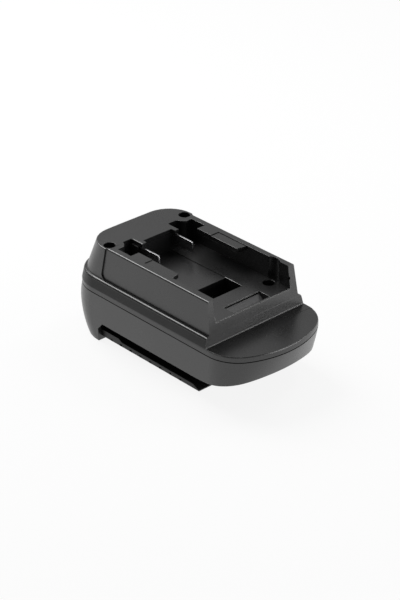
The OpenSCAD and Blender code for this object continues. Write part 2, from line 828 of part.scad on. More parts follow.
// Compression spring between the latch arm and its post
module latch_spring(side) {
  per_turn = 10;
  z0 = spring_z0 + spring_wire / 2;
  rise = spring_z1 - spring_z0 - spring_wire;
  n = per_turn * spring_turns;
  pts = [for (i = [0:n]) let (a = 360 * i / per_turn)
    [spring_x + spring_d / 2 * cos(a), side * spring_y + spring_d / 2 * sin(a), z0 + rise * i / n]];
  self_gap = min([for (i = [0:n - per_turn]) norm(pts[i + per_turn] - pts[i])]) - spring_wire;
  echo(spring_self_gap = self_gap);
  color(steel_colour) coil(pts, spring_wire / 2);
}

// Coil tube: rings stand square to the run of the helix
module coil(pts, r) {
  sides = 6;
  n = len(pts);
  rings = [for (i = [0:n - 1])
    let (
      t = unit(pts[min(i + 1, n - 1)] - pts[max(i - 1, 0)]),
      u = unit(cross([0, 0, 1], t)),
      v = cross(t, u)
    )
    for (k = [0:sides - 1]) let (a = 60 * k + 30) pts[i] + r * (cos(a) * u + sin(a) * v)];
  skin = [for (i = [0:n - 2]) for (k = [0:sides - 1])
    let (a = i * sides + k, b = i * sides + (k + 1) % sides)
    each [[a, a + sides, b + sides], [a, b + sides, b]]];
  polyhedron(rings, concat(
    [[for (k = [0:sides - 1]) k]], skin, [[for (k = [0:sides - 1]) n * sides - 1 - k]]));
}

module latch_spring_left() { latch_spring(1); }
module latch_spring_right() { latch_spring(-1); }

// Pan-head screw with a cross recess, seat at z = 0 and shank pointing down
module screw(l) {
  arm = 0.8;
  difference() {
    union() {
      translate([0, 0, -l]) cylinder(d = shank_d, h = l + eps);
      cylinder(d = head_d, h = head_t);
    }
    for (a = [0, 90]) rotate(a) translate([-0.3 * head_d, -arm / 2, head_t - 1.2])
      cube([0.6 * head_d, arm, far]);
  }
}

module housing_screws() {
  color(steel_colour) at_housing_screws() translate([0, 0, seat_z]) screw(housing_screw_l);
}

module shoe_screws() {
  color(steel_colour) at_shoe_screws() translate([0, 0, head_t + 0.2]) mirror([0, 0, 1])
    screw(shoe_screw_l);
}

// Small screws that hold the terminal block's ears up to their bosses
module block_screws() {
  color(steel_colour) both_sides() translate([ear_x, ear_pitch / 2, floor_z]) {
    cylinder(d = ear_screw_d, h = ear_screw_l);
    translate([0, 0, -ear_head_h]) cylinder(d = ear_head_d, h = ear_head_h);
  }
}

// The heel stands on z = 0, and the rail's underside is heel_drop above it
module raised() {
  translate([0, 0, heel_drop]) children();
}

raised() upper_shell();
raised() lower_shell();
raised() tool_shoe();
raised() battery_terminal_block();
raised() positive_blade();
raised() negative_blade();
raised() tool_terminal_block();
raised() positive_clip();
raised() negative_clip();
raised() positive_lead();
raised() negative_lead();
raised() positive_sleeve();
raised() negative_sleeve();
raised() latch_tongue();
raised() release_button();
raised() latch_spring_left();
raised() latch_spring_right();
raised() housing_screws();
raised() shoe_screws();
raised() block_screws();
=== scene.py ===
import math

import bmesh
import bpy
from mathutils import Matrix, Vector
from mathutils.bvhtree import BVHTree


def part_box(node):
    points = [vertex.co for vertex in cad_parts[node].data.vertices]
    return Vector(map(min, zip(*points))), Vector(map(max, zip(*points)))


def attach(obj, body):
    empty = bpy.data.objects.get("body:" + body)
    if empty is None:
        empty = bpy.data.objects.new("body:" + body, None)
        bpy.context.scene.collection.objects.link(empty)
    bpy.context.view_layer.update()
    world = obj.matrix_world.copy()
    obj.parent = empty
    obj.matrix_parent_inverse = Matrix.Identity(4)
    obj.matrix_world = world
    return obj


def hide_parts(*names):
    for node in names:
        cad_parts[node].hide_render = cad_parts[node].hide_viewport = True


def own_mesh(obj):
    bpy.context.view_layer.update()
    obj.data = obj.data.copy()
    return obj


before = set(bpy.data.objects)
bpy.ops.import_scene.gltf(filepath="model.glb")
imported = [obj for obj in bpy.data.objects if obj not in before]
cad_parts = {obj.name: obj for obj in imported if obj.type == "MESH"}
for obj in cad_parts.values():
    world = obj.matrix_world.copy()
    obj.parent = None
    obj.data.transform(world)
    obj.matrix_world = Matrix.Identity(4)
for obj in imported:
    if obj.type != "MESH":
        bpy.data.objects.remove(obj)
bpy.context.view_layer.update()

# Tool shoe: the notched T-rail that slides into the tool's foot, moulded in a harder,
# slightly glossier black nylon and held up to the lower shell by four screws.
# The edges that show are broken by the tool maker's small radii.
MM = 0.001
SLIVER = 0.12 * MM
FLAT_ANGLE = math.radians(0.7)
EDGE_ANGLE = math.radians(50)
CREASE_ANGLE = math.radians(30)
ROUNDING = 1.2 * MM
SIGHT_LIFT = 0.2 * MM
ROOM_FOR_RADIUS = 2.2

packed = bmesh.new()
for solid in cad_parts.values():
    packed.from_mesh(solid.data)
outside = BVHTree.FromBMesh(packed)
packed.free()
LOOKS = [Vector((x, y, z)).normalized()
         for x in (-1, 0, 1) for y in (-1, 0, 1) for z in (-1, 0, 1)
         if (x, y, z) != (0, 0, 0)]


def skin_of(node):
    """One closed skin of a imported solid, with its flat facets joined and its slivers closed."""
    bm = bmesh.new()
    bm.from_mesh(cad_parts[node].data)
    bmesh.ops.remove_doubles(bm, verts=bm.verts[:], dist=SLIVER)
    bmesh.ops.dissolve_degenerate(bm, dist=SLIVER / 10, edges=bm.edges[:])
    bmesh.ops.dissolve_limit(bm, angle_limit=FLAT_ANGLE, verts=bm.verts[:], edges=bm.edges[:])
    bm.faces.layers.float.new("rounded")
    return bm


def in_sight(edge):
    """True if some straight look from outside reaches this edge on the assembled adapter."""
    lift = sum((f.normal for f in edge.link_faces), Vector())
    spot = (edge.verts[0].co + edge.verts[1].co) / 2 + lift.normalized() * SIGHT_LIFT
    return any(outside.ray_cast(spot, look)[0] is None for look in LOOKS)


def breadth(face):
    """Mean width of a face, small for a strip."""
    return 2 * face.calc_area() / face.calc_perimeter()


def outer_edges(bm, radius):
    """The sharp outward edges that can be seen and have room for the radius on both sides."""
    return [e for e in bm.edges
            if e.is_convex and e.calc_face_angle() > EDGE_ANGLE
            and min(breadth(f) for f in e.link_faces) > ROOM_FOR_RADIUS * radius and in_sight(e)]


def round_off(bm, edges, radius, steps):
    """Breaks the edges with a small radius and marks the new faces as rounded."""
    mark = bm.faces.layers.float["rounded"]
    made = bmesh.ops.bevel(bm, geom=edges, offset=radius, offset_type="OFFSET", segments=steps,
                           profile=0.5, affect="EDGES", material=-1, clamp_overlap=False)
    for face in made["faces"]:
        face[mark] = 1.0


def finished(bm, name, node, body, slot, *materials):
    """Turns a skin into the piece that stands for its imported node."""
    mark = bm.faces.layers.float["rounded"]
    for face in bm.faces:
        face.smooth = True
        joins_softly = all(e.calc_face_angle(math.pi) < EDGE_ANGLE for e in face.edges)
        if breadth(face) < ROUNDING and joins_softly:
            face[mark] = 1.0
    for edge in bm.edges:
        bend = EDGE_ANGLE if all(f[mark] > 0 for f in edge.link_faces) else CREASE_ANGLE
        edge.smooth = edge.calc_face_angle(math.pi) < bend
    mesh = bpy.data.meshes.new(name)
    bm.to_mesh(mesh)
    bm.free()
    for material in materials:
        mesh.materials.append(material)
    piece = bpy.data.objects.new(name, mesh)
    bpy.context.scene.collection.objects.link(piece)
    shading = piece.modifiers.new("even shading", "WEIGHTED_NORMAL")
    shading.keep_sharp = True
    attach(piece, body)
    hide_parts(node)
    return piece


def reckon(tree, operation, *values):
    """One sum on values that change over the surface; plain numbers are set in place."""
    node = tree.nodes.new("ShaderNodeMath")
    node.operation = operation
    for socket, value in zip(node.inputs, values):
        if isinstance(value, float):
            socket.default_value = value
        else:
            tree.links.new(value, socket)
    return node.outputs["Value"]


def spread(tree, value, start, stop, blend="LINEAR"):
    """Carries a value from one range over to another."""
    node = tree.nodes.new("ShaderNodeMapRange")
    node.interpolation_type = blend
    node.inputs["From Min"].default_value, node.inputs["From Max"].default_value = start
    node.inputs["To Min"].default_value, node.inputs["To Max"].default_value = stop
    tree.links.new(value, node.inputs["Value"])
    return node.outputs["Result"]


def mottle(tree, where, detail, coarseness=0.5):
    """Cloudy noise over the piece."""
    node = tree.nodes.new("ShaderNodeTexNoise")
    node.inputs["Detail"].default_value = detail
    node.inputs["Roughness"].default_value = coarseness
    tree.links.new(where, node.inputs["Vector"])
    return node


def tinted(tree, colour, strength):
    """A colour made lighter or darker from place to place."""
    node = tree.nodes.new("ShaderNodeVectorMath")
    node.operation = "SCALE"
    tree.links.new(colour, node.inputs[0])
    tree.links.new(strength, node.inputs["Scale"])
    return node.outputs["Vector"]


def surface_group(name, **inputs):
    """An empty finish with its named inputs, giving out colour, roughness and fine height."""
    group = bpy.data.node_groups.new(name, "ShaderNodeTree")
    for label, kind in inputs.items():
        group.interface.new_socket(label.replace("_", " "), in_out="INPUT", socket_type=kind)
    for label, kind in (("Colour", "NodeSocketColor"), ("Roughness", "NodeSocketFloat"),
                        ("Height", "NodeSocketFloat")):
        group.interface.new_socket(label, in_out="OUTPUT", socket_type=kind)
    given, given_out = group.nodes.new("NodeGroupInput"), group.nodes.new("NodeGroupOutput")
    place = group.nodes.new("ShaderNodeTexCoord").outputs["Object"]
    return group, given.outputs, given_out.inputs, place


def eroded_grain():
    """Spark-eroded tool grain: fine pits, cloudy flow marks and slightly polished edges, whose
    colour is also painted paler as a highlight.
    """
    group, given, out, place = surface_group(
        "eroded grain", Colour="NodeSocketColor", Gloss_loss="NodeSocketFloat",
        Grains_per_metre="NodeSocketFloat", Edge_polish="NodeSocketFloat")
    join = group.links.new
    pits = mottle(group, place, 3.0, 0.65)
    join(given["Grains per metre"], pits.inputs["Scale"])
    clouds = mottle(group, place, 2.0)
    clouds.inputs["Scale"].default_value = 45.0
    edges = group.nodes.new("ShaderNodeAttribute")
    edges.attribute_name = "rounded"

    polish = reckon(group, "MULTIPLY", edges.outputs["Fac"], given["Edge polish"])
    tone = spread(group, pits.outputs["Fac"], (0.3, 0.7), (0.86, 1.14))
    drift = spread(group, clouds.outputs["Fac"], (0.3, 0.7), (0.93, 1.07))
    both = reckon(group, "MULTIPLY", tone, drift)
    # Painted highlight: rounded faces get a colour up to half as much again paler, in step with
    # the edge polish.
    painted_edge_highlight = reckon(group, "MULTIPLY_ADD", polish, 0.5, both)
    matt = reckon(group, "MULTIPLY", given["Gloss loss"], both)
    glossier_edges = reckon(group, "MULTIPLY_ADD", polish, -0.16, matt)
    glossier_edges.node.use_clamp = True

    join(tinted(group, given["Colour"], painted_edge_highlight), out["Colour"])
    join(glossier_edges, out["Roughness"])
    join(pits.outputs["Fac"], out["Height"])
    return group


def coated(name, group, depth, **values):
    """A material with its colour, gloss and fine relief from a finish, and its shader."""
    material = bpy.data.materials.new(name)
    material.use_nodes = True
    nodes, join = material.node_tree.nodes, material.node_tree.links.new
    shader = nodes["Principled BSDF"]
    finish = nodes.new("ShaderNodeGroup")
    finish.node_tree = group
    for label, value in values.items():
        finish.inputs[label.replace("_", " ")].default_value = value
    bump = nodes.new("ShaderNodeBump")
    bump.inputs["Strength"].default_value = 1.0
    bump.inputs["Distance"].default_value = depth
    join(finish.outputs["Height"], bump.inputs["Height"])
    join(finish.outputs["Colour"], shader.inputs["Base Color"])
    join(finish.outputs["Roughness"], shader.inputs["Roughness"])
    join(bump.outputs["Normal"], shader.inputs["Normal"])
    return material, shader


MOULD_GRAIN = eroded_grain()
FINE_PITS = 0.004 * MM
SATIN = 0.65


# polish makes the rounded edges glossier and also sets how strongly their colour is painted paler
# as a highlight.
def moulded_plastic(name, colour, roughness, grains, depth, polish, sheen=SATIN):
    """Satin plastic with the mould's grain in its colour, gloss and surface, and a painted
    highlight on its rounded edges.
    """
    material, shader = coated(name, MOULD_GRAIN, depth, Colour=(*colour, 1.0),
                              Gloss_loss=roughness, Grains_per_metre=grains, Edge_polish=polish)
    shader.inputs["IOR"].default_value = 1.5
    shader.inputs["Specular IOR Level"].default_value = sheen
    return material


shoe_nylon = moulded_plastic("shoe nylon", (0.0055, 0.0055, 0.0057), roughness=0.4,
                             grains=2400.0, depth=FINE_PITS, polish=0.7, sheen=0.35)
# Painted shade: a darker, duller plastic put on faces where shade falls, inside the shoe's
# notches and along the joint between the shells.
painted_shade_plastic = moulded_plastic("painted shade plastic", (0.004, 0.004, 0.0041), roughness=0.6,
                              grains=2400.0, depth=FINE_PITS, polish=0.0, sheen=0.08)
EDGE_RADIUS = 0.2 * MM
NOTCH_DEPTH, NOTCH_WIDTH, NOTCH_FACE = 1.2 * MM, 1.5 * MM, 1.6 * MM
WEB, WEB_LIFT, WEB_INSET = 0.35 * MM, 0.03 * MM, 0.13 * MM
WEB_ROOT_X, WEB_ROOT_Y = 0.6 * MM, 0.2 * MM
PAINTED_SHADE = 1
shoe = skin_of("tool_shoe")
underside, runner_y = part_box("tool_shoe")[0].z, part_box("tool_shoe")[1].y
round_off(shoe, outer_edges(shoe, EDGE_RADIUS), EDGE_RADIUS, 2)


def in_notch(face):
    """True for the small faces inside the notches along the runners' lower edges."""
    spot = face.calc_center_median()
    return (underside + 0.1 * MM < spot.z < underside + 1.05 * NOTCH_DEPTH
            and runner_y - 1.05 * NOTCH_DEPTH < abs(spot.y) < runner_y - 0.05 * MM
            and breadth(face) < NOTCH_FACE)


# Painted shade: the faces inside the notches get the darker, duller plastic for the shade in
# them.
notch_faces = [f for f in shoe.faces if in_notch(f)]
for face in notch_faces:
    face.material_index = PAINTED_SHADE
for roof in [f.calc_center_median() for f in notch_faces if f.normal.z < -0.9]:
    web_y = math.copysign(runner_y - NOTCH_DEPTH / 2 - WEB_INSET, roof.y)
    web_size = Vector((NOTCH_WIDTH + WEB_ROOT_X, NOTCH_DEPTH + WEB_ROOT_Y, WEB))
    web_middle = Vector((roof.x, web_y, underside + WEB_LIFT + WEB / 2))
    bmesh.ops.create_cube(shoe, size=1.0, matrix=Matrix.LocRotScale(web_middle, None, web_size))
finished(shoe, "rail_shoe", "tool_shoe", "housing", "shoe", shoe_nylon, painted_shade_plastic)

# Terminal block for the tool: a black insulating moulding in the front window of the shoe,
# slotted for the tool's blades, with the two clips standing in it.
block_plastic = moulded_plastic("block plastic", (0.0065, 0.0065, 0.0068), roughness=0.42,
                                grains=2600.0, depth=FINE_PITS, polish=0.5, sheen=0.35)
clip_block = skin_of("tool_terminal_block")
round_off(clip_block, outer_edges(clip_block, EDGE_RADIUS), EDGE_RADIUS, 2)
finished(clip_block, "clip_block", "tool_terminal_block", "housing", "block", block_plastic)


# Tool clips: two-leaf spring contacts stamped and folded from tin-plated bronze strip,
# each with a tail that stands up through the lower shell to its lead.
def drawn_lines():
    """Plated metal: the fine lines of drawing or rolling, under a little tarnish."""
    group, given, out, place = surface_group(
        "drawn plating", Colour="NodeSocketColor", Gloss_loss="NodeSocketFloat",
        Lines_per_metre="NodeSocketVector")
    join = group.links.new
    stretch = group.nodes.new("ShaderNodeMapping")
    join(place, stretch.inputs["Vector"])
    join(given["Lines per metre"], stretch.inputs["Scale"])
    lines = mottle(group, stretch.outputs["Vector"], 3.0)
    lines.inputs["Scale"].default_value = 1.0
    tarnish = mottle(group, place, 4.0)
    tarnish.inputs["Scale"].default_value = 260.0

    dulled = spread(group, tarnish.outputs["Fac"], (0.35, 0.7), (1.0, 0.72))
    drawn = spread(group, lines.outputs["Fac"], (0.3, 0.7), (0.8, 1.3))
    join(tinted(group, given["Colour"], dulled), out["Colour"])
    join(reckon(group, "MULTIPLY", given["Gloss loss"], drawn), out["Roughness"])
    join(lines.outputs["Fac"], out["Height"])
    return group


PLATING = drawn_lines()


def plated(name, colour, roughness, lines):
    """Bright plated metal with its drawn lines along one direction."""
    material, shader = coated(name, PLATING, FINE_PITS, Colour=(*colour, 1.0),
                              Gloss_loss=roughness, Lines_per_metre=lines)
    shader.inputs["Metallic"].default_value = 1.0
    return material


def broken_all_round(node, name, body, slot, material, radius):
    """A small piece with every sharp edge broken."""
    bm = skin_of(node)
    sharp = [e for e in bm.edges
             if len(e.link_faces) == 2 and e.calc_face_angle() > EDGE_ANGLE]
    round_off(bm, sharp, radius, 2)
    finished(bm, name, node, body, slot, material)


tin_plate = plated("tin plate", (0.46, 0.46, 0.47), roughness=0.32, lines=(250.0, 4000.0, 4000.0))
CLIP_RADIUS = 0.1 * MM
POLES = ("positive", "negative")
for pole in POLES:
    broken_all_round(f"{pole}_clip", f"{pole}_tool_clip", "housing", "plated_contact",
                     tin_plate, CLIP_RADIUS)

# Lower shell: the lower half of the housing, moulded in charcoal satin plastic, with the raked
# nose, the skirts over the rail's grooves and the round heel with its thumb window.
# Its upper rim gets painted shade, a darker, duller plastic, for the fine dark line where it
# meets the upper shell.
shell_plastic = moulded_plastic("shell plastic", (0.006, 0.006, 0.0062), roughness=0.3,
                                grains=2100.0, depth=0.0028 * MM, polish=0.2, sheen=0.78)
RIM_CLEAR = 1 * MM
lower = skin_of("lower_shell")
joint_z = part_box("lower_shell")[1].z
below_rim = [e for e in outer_edges(lower, EDGE_RADIUS)
             if min(v.co.z for v in e.verts) < joint_z - RIM_CLEAR]
round_off(lower, below_rim, EDGE_RADIUS, 2)
# Painted shade on the rim's top faces, for the dark parting line.
for face in lower.faces:
    if face.normal.z > 0.9 and face.calc_center_median().z > joint_z - 0.05 * MM:
        face.material_index = PAINTED_SHADE
finished(lower, "housing_lower", "lower_shell", "housing", "shell", shell_plastic, painted_shade_plastic)

# Shoe screws: four pan-head screws of zinc-plated steel, sunk in the underside of the shoe.
# They draw the shoe up to the bosses of the lower shell.
zinc_plate = plated("zinc plate", (0.42, 0.425, 0.43), roughness=0.34,
                    lines=(1800.0, 1800.0, 300.0))
PAN_RADIUS = 0.08 * MM
broken_all_round("shoe_screws", "shoe_pan_screws", "housing", "screw_steel",
                 zinc_plate, PAN_RADIUS)

# Latch: a flat arm in the heel, with the catch tongue that drops through the shoe into the tool.
# It is moulded in the same nylon as the shoe, and its stub snaps into the thumb button.
broken_all_round("latch_tongue", "latch_arm", "latch", "shoe", shoe_nylon, EDGE_RADIUS)

# Thumb button: the ribbed pad in the heel's scoop that lifts the latch,
# moulded in the shell's plastic with a closer grain.
button_plastic = moulded_plastic("button plastic", (0.007, 0.007, 0.0072), roughness=0.29,
                                 grains=2600.0, depth=FINE_PITS, polish=0.8)
RIB_RADIUS = 0.25 * MM
broken_all_round("release_button", "thumb_button", "latch", "button", button_plastic, RIB_RADIUS)

# Latch springs: two compression springs of drawn wire between the arm and the posts above it,
# with their end turns closed and flat. They are built at one length here, though they shorten as
# the latch lifts.
SPRING_WIRE = 0.6 * MM
SPRING_MEAN_D = 4.8 * MM
OPEN_TURNS = 5
END_RISE = 0.7 * SPRING_WIRE
STEPS_PER_TURN = 28
WIRE_SIDES = 10
drawn_wire = plated("drawn wire", (0.5, 0.505, 0.51), roughness=0.3, lines=(700.0, 700.0, 2500.0))


def edges_only(geometry):
    """The edges among some mesh elements."""
    return [g for g in geometry if isinstance(g, bmesh.types.BMEdge)]


for hand in ("left", "right"):
    low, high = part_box(f"latch_spring_{hand}")
    axis = (low + high) / 2
    coil_low, coil_high = low.z + SPRING_WIRE / 2, high.z - SPRING_WIRE / 2
    open_rise = coil_high - coil_low - 2 * END_RISE
    coil = bmesh.new()
    ring = bmesh.ops.create_circle(coil, cap_ends=False, segments=WIRE_SIDES,
                                   radius=SPRING_WIRE / 2)["verts"]
    bmesh.ops.rotate(coil, verts=ring, matrix=Matrix.Rotation(math.pi / 2, 3, "X"))
    bmesh.ops.translate(coil, verts=ring, vec=(axis.x + SPRING_MEAN_D / 2, axis.y, coil_low))
    tip = ring + list(dict.fromkeys(e for v in ring for e in v.link_edges))
    bmesh.ops.contextual_create(coil, geom=edges_only(tip))
    for turns, rise in ((1, END_RISE), (OPEN_TURNS, open_rise), (1, END_RISE)):
        steps = turns * STEPS_PER_TURN
        wound = bmesh.ops.spin(coil, geom=tip, cent=(axis.x, axis.y, 0), axis=(0, 0, 1),
                               dvec=(0, 0, rise / steps), angle=2 * math.pi * turns, steps=steps)
        tip = wound["geom_last"]
    bmesh.ops.contextual_create(coil, geom=edges_only(tip))
    bmesh.ops.recalc_face_normals(coil, faces=coil.faces[:])
    coil.faces.layers.float.new("rounded")
    spring = finished(coil, f"latch_coil_{hand}", f"latch_spring_{hand}", "housing",
                      "spring_steel", drawn_wire)
    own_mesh(spring)

# Leads: two short stranded wires in soft insulation, red and black, soldered to the blades' legs
# and to the clips' tails, lying loose along the bottom of the housing.
INSULATION = {"positive": ("red_insulation", (0.36, 0.012, 0.01)),
              "negative": ("black_insulation", (0.008, 0.008, 0.008))}
for pole, (insulation_slot, colour) in INSULATION.items():
    soft_vinyl = moulded_plastic(f"{pole} insulation", colour, roughness=0.38,
                                 grains=900.0, depth=0.02 * MM, polish=0.0)
    wire = finished(skin_of(f"{pole}_lead"), f"{pole}_wire", f"{pole}_lead", "housing",
                    insulation_slot, soft_vinyl)
    rounder = wire.modifiers.new("round", "SUBSURF")
    rounder.levels = rounder.render_levels = 1

# Sleeves: short lengths of black shrink tube, warmed down over the solder joints
# between the leads and the blades' legs.
shrink_tube = moulded_plastic("shrink tube", (0.007, 0.007, 0.007), roughness=0.55,
                              grains=1400.0, depth=0.03 * MM, polish=0.2)
TUBE_RADIUS = 0.12 * MM
for pole in POLES:
    broken_all_round(f"{pole}_sleeve", f"{pole}_shrink_tube", "housing", "shrink_sleeve",
                     shrink_tube, TUBE_RADIUS)

# Battery terminal block: the insulating wall at the back of the channel that the blades stand
# out of, moulded in the same plastic as the tool's block. Its two ears are held up to bosses
# under the deck by small screws, and its top edges stay sharp against the deck.
BLOCK_TOP_CLEAR = 1 * MM
blade_block = skin_of("battery_terminal_block")
block_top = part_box("battery_terminal_block")[1].z
below_top = [e for e in outer_edges(blade_block, EDGE_RADIUS)
             if max(v.co.z for v in e.verts) < block_top - BLOCK_TOP_CLEAR]
round_off(blade_block, below_top, EDGE_RADIUS, 2)
finished(blade_block, "blade_block", "battery_terminal_block", "housing", "block", block_plastic)
EAR_SCREW_RADIUS = 0.1 * MM
broken_all_round("block_screws", "ear_screws", "housing", "screw_steel",
                 zinc_plate, EAR_SCREW_RADIUS)

# Battery blades: two upright tin-plated brass blades, pressed into the block,
# with chamfered noses that lead into the battery's contacts.
BLADE_RADIUS = 0.15 * MM
for pole in POLES:
    broken_all_round(f"{pole}_blade", f"{pole}_contact_blade", "housing", "plated_contact",
                     tin_plate, BLADE_RADIUS)

# Upper shell: the half-moon fronted top half with the tapered pedestal, the channel with its
# overhanging lips, the pockets, the well and the catch pocket, all in one moulding.
# The band between the rim and the pedestal has a coarser grain from the same tool.
HAIR = 0.01 * MM
WELL_REAR_X, WELL_FRONT_X, WELL_HALF_Y = 10.75 * MM, 23.45 * MM, 10.2 * MM
RAMP_HEAD_X, RAMP_TOP = 34.05 * MM, 14 * MM
RAMP_CUT, RAMP_DRAFT = 0.9 * MM, 0.1 * MM
POCKET_HALF_Y, BAY_HALF_Y, TONGUE_Y = 12.9 * MM, 26.9 * MM, 13.4 * MM
POST_X, SILL_X = 40.5 * MM, 42 * MM
BAY_Z, HALF_MOON_Z = 45.5 * MM, 34.0 * MM
PANEL_REAR_X, PANEL_Y, SPINE_HALF_L = -39 * MM, 31 * MM, 35 * MM
DECK_RADIUS, DECK_RADIUS_START = 1.0 * MM, 1.5 * MM
REAR_RADIUS, TONGUE_RADIUS = 0.28 * MM, 0.65 * MM
MOUTH_RADIUS, FOOT_RADIUS = 0.42 * MM, 0.4 * MM
STEP_RUN_OUT = 0.6 * MM
upper = skin_of("upper_shell")
deck_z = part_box("upper_shell")[1].z


def all_of(edge, test):
    """True if both ends of an edge pass a test on their place."""
    return all(test(v.co) for v in edge.verts)


def reach(edge):
    """How far an edge runs along x, y and z."""
    run = edge.verts[0].co - edge.verts[1].co
    return Vector((abs(run.x), abs(run.y), abs(run.z)))


def deck_rim():
    """The two long straight edges where the deck meets the side panels."""
    return [e for e in outer_edges(upper, DECK_RADIUS)
            if all_of(e, lambda p: p.z > deck_z - 0.1 * MM and abs(p.y) > 30 * MM)]


def step_edges():
    """The two long edges of the bay floor's step, which run on into the well's sides."""
    return [e for e in upper.edges
            if e.is_convex and e.calc_face_angle() > EDGE_ANGLE
            and all_of(e, lambda p: abs(abs(p.y) - WELL_HALF_Y) < HAIR and p.z > joint_z)
            and reach(e).z < HAIR and e.calc_length() > 10 * MM]


def cut_across(faces, x):
    """Cuts some faces across the length of the adapter, and gives back the new corners."""
    parts = faces + list(dict.fromkeys(e for f in faces for e in f.edges))
    parts += list(dict.fromkeys(v for f in faces for v in f.verts))
    cut = bmesh.ops.bisect_plane(upper, geom=parts, plane_co=(x, 0, 0), plane_no=(1, 0, 0))
    return [g for g in cut["geom_cut"] if isinstance(g, bmesh.types.BMVert)]


def beside(edges):
    """The faces on both sides of some edges."""
    return list(dict.fromkeys(f for e in edges for f in e.link_faces))


def on_ramp(face, least, most):
    """True for a face of the catch pocket's floor with its slope between two limits."""
    spot = face.calc_center_median()
    return (RAMP_HEAD_X < spot.x < POST_X and abs(spot.y) < POCKET_HALF_Y
            and spot.z < joint_z + RAMP_TOP and least < face.normal.z < most)


# The ramp's head drops steeply, and the radii of the deck and the well run out short.
ramp_head = cut_across([f for f in upper.faces if on_ramp(f, 0.7, 0.8)], RAMP_HEAD_X + RAMP_CUT)
bmesh.ops.translate(upper, verts=ramp_head, vec=(RAMP_DRAFT - RAMP_CUT, 0, 0))
deck_rear_x = min(v.co.x for e in deck_rim() for v in e.verts)
cut_across(beside(deck_rim()), deck_rear_x + DECK_RADIUS_START)
round_off(upper, deck_rim(), DECK_RADIUS, 5)
cut_across(beside(step_edges()), WELL_REAR_X)
cut_across(beside(step_edges()), WELL_REAR_X - STEP_RUN_OUT)

# Every other outward edge gets a radius of its own kind. The bay's step, the foot of the
# side panels and the edges that run into the deck's radius stay sharp.
bay_step = [e for e in step_edges() if all_of(e, lambda p: p.x < WELL_REAR_X + HAIR)]
rounded = upper.faces.layers.float["rounded"]
plain = [e for e in outer_edges(upper, EDGE_RADIUS)
         if not any(f[rounded] > 0 for v in e.verts for f in v.link_faces)
         and all_of(e, lambda p: p.z > joint_z + RIM_CLEAR) and e not in bay_step
         and not all_of(e, lambda p: 9 * MM < p.z - joint_z < 10 * MM and abs(p.y) > PANEL_Y)]
well_rim = [e for e in plain if all_of(
    e, lambda p: abs(p.y) < WELL_HALF_Y + HAIR and p.z > joint_z + 12 * MM
    and WELL_REAR_X - HAIR < p.x < WELL_FRONT_X + HAIR)]
pocket_sides = [e for e in plain if all_of(
    e, lambda p: abs(abs(p.y) - POCKET_HALF_Y) < HAIR and p.x > WELL_FRONT_X
    and p.z > joint_z + 15 * MM)]
post_edges = [e for e in plain if reach(e).z > 5 * MM and all_of(
    e, lambda p: p.x > POST_X and abs(abs(p.y) - BAY_HALF_Y) < 0.3 * MM)]
front_sill = [e for e in plain if reach(e).y > 2 * MM and all_of(
    e, lambda p: p.x > SILL_X and abs(p.z - BAY_Z) < 0.05 * MM)]
tongues = [e for e in plain if all_of(
    e, lambda p: abs(abs(p.y) - TONGUE_Y) < 0.02 * MM and p.z > deck_z - 0.05 * MM)]
rear_rim = [e for e in upper.edges
            if all_of(e, lambda p: p.z > deck_z - 0.02 * MM)
            and max(f.normal.z for f in e.link_faces) > 0.99
            and 0.5 < min(f.normal.z for f in e.link_faces) < 0.97
            and min(breadth(f) for f in e.link_faces) > 0.35 * MM]
mouths = well_rim + pocket_sides + post_edges + front_sill
others = [e for e in plain if e not in mouths + tongues]
round_off(upper, rear_rim, REAR_RADIUS, 2)
round_off(upper, [e for e in tongues if e.is_valid], TONGUE_RADIUS, 3)
round_off(upper, [e for e in mouths if e.is_valid], MOUTH_RADIUS, 3)
round_off(upper, [e for e in others if e.is_valid], EDGE_RADIUS, 2)
front_foot = [e for e in upper.edges
              if len(e.link_faces) == 2 and not e.is_convex and e.calc_face_angle() > EDGE_ANGLE
              and all_of(e, lambda p: abs(p.z - HALF_MOON_Z) < 0.05 * MM and p.x > POST_X)
              and e.calc_length() > 20 * MM]
round_off(upper, front_foot, FOOT_RADIUS, 3)

# The coarse band lies between the rim and the ledge, and a little higher round the heel.
# The chamfer at the joint gets painted shade, a darker, duller plastic for the dark line, and the
# ramp is painted paler to stand in for the light that falls on it from the front.
BAND_FOOT, BAND_TOP, HEEL_BAND_TOP = 3.4 * MM, 8.1 * MM, 9.15 * MM
CHAMFER_TOP = 0.7 * MM
BAND, JOINT_CHAMFER, RAMP = 1, 2, 3
for face in upper.faces:
    spot = face.calc_center_median()
    spine_x = max(-SPINE_HALF_L, min(SPINE_HALF_L, spot.x))
    looks_out = face.normal.x * (spot.x - spine_x) + face.normal.y * spot.y > 0
    upright = abs(face.normal.z) < 0.5 and face.normal.x < 0.9
    height = spot.z - joint_z
    if looks_out and upright and BAND_FOOT < height < BAND_TOP:
        face.material_index = BAND
    elif looks_out and BAND_TOP < height < HEEL_BAND_TOP and spot.x < PANEL_REAR_X:
        face.material_index = BAND
    # Painted shade on the joint chamfer.
    elif 0 < height < CHAMFER_TOP and -0.9 < face.normal.z < -0.3:
        face.material_index = JOINT_CHAMFER
    # Painted light on the ramp: a paler plastic for the light that falls on it.
    elif on_ramp(face, 0.6, 0.85):
        face.material_index = RAMP
band_plastic = moulded_plastic("band plastic", (0.006, 0.006, 0.0062), roughness=0.44,
                               grains=1500.0, depth=0.03 * MM, polish=0.8, sheen=0.4)
# Painted light: the ramp's plastic is coloured far paler than the shell's, for the light that
# falls on it from the front.
painted_light_ramp = moulded_plastic("painted light ramp plastic", (0.15, 0.15, 0.152), roughness=0.42,
                              grains=900.0, depth=0.03 * MM, polish=0.0)
finished(upper, "housing_upper", "upper_shell", "housing", "shell",
         shell_plastic, band_plastic, painted_shade_plastic, painted_light_ramp)

